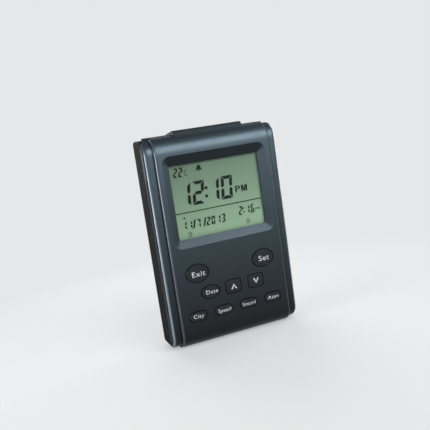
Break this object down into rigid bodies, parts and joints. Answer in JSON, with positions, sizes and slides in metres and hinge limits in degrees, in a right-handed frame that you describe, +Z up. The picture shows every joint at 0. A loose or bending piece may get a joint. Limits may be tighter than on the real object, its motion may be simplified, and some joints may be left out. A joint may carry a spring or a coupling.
{
  "type": "desk azan clock",
  "caption": "Upright desk azan clock with a sunken liquid crystal display, function keys, a top snooze bar, a rear speaker grille, a battery door and a fold-out stand.",
  "frame": {"origin": "middle of the bottom of the bounding box, on the surface the clock stands on", "axes": "+Z up, the display faces -Y, +X to the reader's right"},
  "size_m": [0.082, 0.0238, 0.126],
  "materials": {
    "cover_slate": "satin metallic slate lacquer over moulded plastic",
    "housing_black": "fine matt texture",
    "window_clear": "clear and glossy",
    "lcd_glass": "grey-green reflective display film",
    "light_guide": "milky",
    "led_resin": "clear resin",
    "frame_black": "matt",
    "strip_rubber": "matt",
    "board_green": "solder mask",
    "resin_black": "satin resin",
    "tin_plate": "bright tin",
    "can_aluminium": "drawn can",
    "bead_brown": "lacquer",
    "mat_silicone": "matt silicone",
    "switch_plastic": "matt",
    "speaker_steel": "zinc plated",
    "cone_paper": "pressed paper",
    "magnet_ferrite": "ground ferrite",
    "wire_sleeve": "soft sleeve",
    "cell_sleeve": "plain printed sleeve",
    "spring_steel": "nickel plated",
    "contact_nickel": "nickel plated",
    "screw_steel": "zinc plated",
    "bar_black": "fine satin texture",
    "key_dark": "satin"
  },
  "bodies": {
    "case": {"front_cover": "cover_slate", "rear_housing": "housing_black", "display_window": "window_clear", "lcd_panel": "lcd_glass", "lcd_backlight": "light_guide", "backlight_leds": "led_resin", "lcd_frame": "frame_black", "zebra_strips": "strip_rubber", "main_board": "board_green", "controller_blob": "resin_black", "voice_chip": "resin_black", "quartz_crystal": "tin_plate", "capacitors": "can_aluminium", "thermistor": "bead_brown", "key_mat": "mat_silicone", "snooze_switch": "switch_plastic", "speaker_frame": "speaker_steel", "speaker_cone": "cone_paper", "speaker_magnet": "magnet_ferrite", "speaker_leads": "wire_sleeve", "battery_cells": "cell_sleeve", "battery_springs": "spring_steel", "battery_contacts": "contact_nickel", "housing_screws": "screw_steel", "board_screws": "screw_steel"},
    "exit_key": {"exit_key": "key_dark"},
    "set_key": {"set_key": "key_dark"},
    "date_key": {"date_key": "key_dark"},
    "up_key": {"up_key": "key_dark"},
    "down_key": {"down_key": "key_dark"},
    "city_key": {"city_key": "key_dark"},
    "speech_key": {"speech_key": "key_dark"},
    "sound_key": {"sound_key": "key_dark"},
    "azan_key": {"azan_key": "key_dark"},
    "snooze_bar": {"snooze_bar": "bar_black"},
    "battery_door": {"battery_door": "housing_black"},
    "stand_leg": {"stand_leg": "housing_black"}
  },
  "joints": [
    {"name": "exit_key_press", "type": "slide", "parent": "case", "child": "exit_key", "axis": [0, 1, 0], "range_m": [0, 0.0007], "stiffness_N_per_m": 1500, "springref_m": -0.0003},
    {"name": "set_key_press", "type": "slide", "parent": "case", "child": "set_key", "axis": [0, 1, 0], "range_m": [0, 0.0007], "stiffness_N_per_m": 1500, "springref_m": -0.0003},
    {"name": "date_key_press", "type": "slide", "parent": "case", "child": "date_key", "axis": [0, 1, 0], "range_m": [0, 0.0007], "stiffness_N_per_m": 1500, "springref_m": -0.0003},
    {"name": "up_key_press", "type": "slide", "parent": "case", "child": "up_key", "axis": [0, 1, 0], "range_m": [0, 0.0007], "stiffness_N_per_m": 1500, "springref_m": -0.0003},
    {"name": "down_key_press", "type": "slide", "parent": "case", "child": "down_key", "axis": [0, 1, 0], "range_m": [0, 0.0007], "stiffness_N_per_m": 1500, "springref_m": -0.0003},
    {"name": "city_key_press", "type": "slide", "parent": "case", "child": "city_key", "axis": [0, 1, 0], "range_m": [0, 0.0007], "stiffness_N_per_m": 1500, "springref_m": -0.0003},
    {"name": "speech_key_press", "type": "slide", "parent": "case", "child": "speech_key", "axis": [0, 1, 0], "range_m": [0, 0.0007], "stiffness_N_per_m": 1500, "springref_m": -0.0003},
    {"name": "sound_key_press", "type": "slide", "parent": "case", "child": "sound_key", "axis": [0, 1, 0], "range_m": [0, 0.0007], "stiffness_N_per_m": 1500, "springref_m": -0.0003},
    {"name": "azan_key_press", "type": "slide", "parent": "case", "child": "azan_key", "axis": [0, 1, 0], "range_m": [0, 0.0007], "stiffness_N_per_m": 1500, "springref_m": -0.0003},
    {"name": "snooze_bar_press", "type": "slide", "parent": "case", "child": "snooze_bar", "axis": [0, 0, -1], "range_m": [0, 0.0009], "stiffness_N_per_m": 2000, "springref_m": -0.0005},
    {"name": "battery_door_hinge", "type": "hinge", "parent": "case", "child": "battery_door", "pos_m": [0, 0.0111, 0.06535], "axis": [1, 0, 0], "range_deg": [0, 75]},
    {"name": "stand_hinge", "type": "hinge", "parent": "case", "child": "stand_leg", "pos_m": [0, 0.0104, 0.08], "axis": [1, 0, 0], "range_deg": [0, 35]}
  ]
}
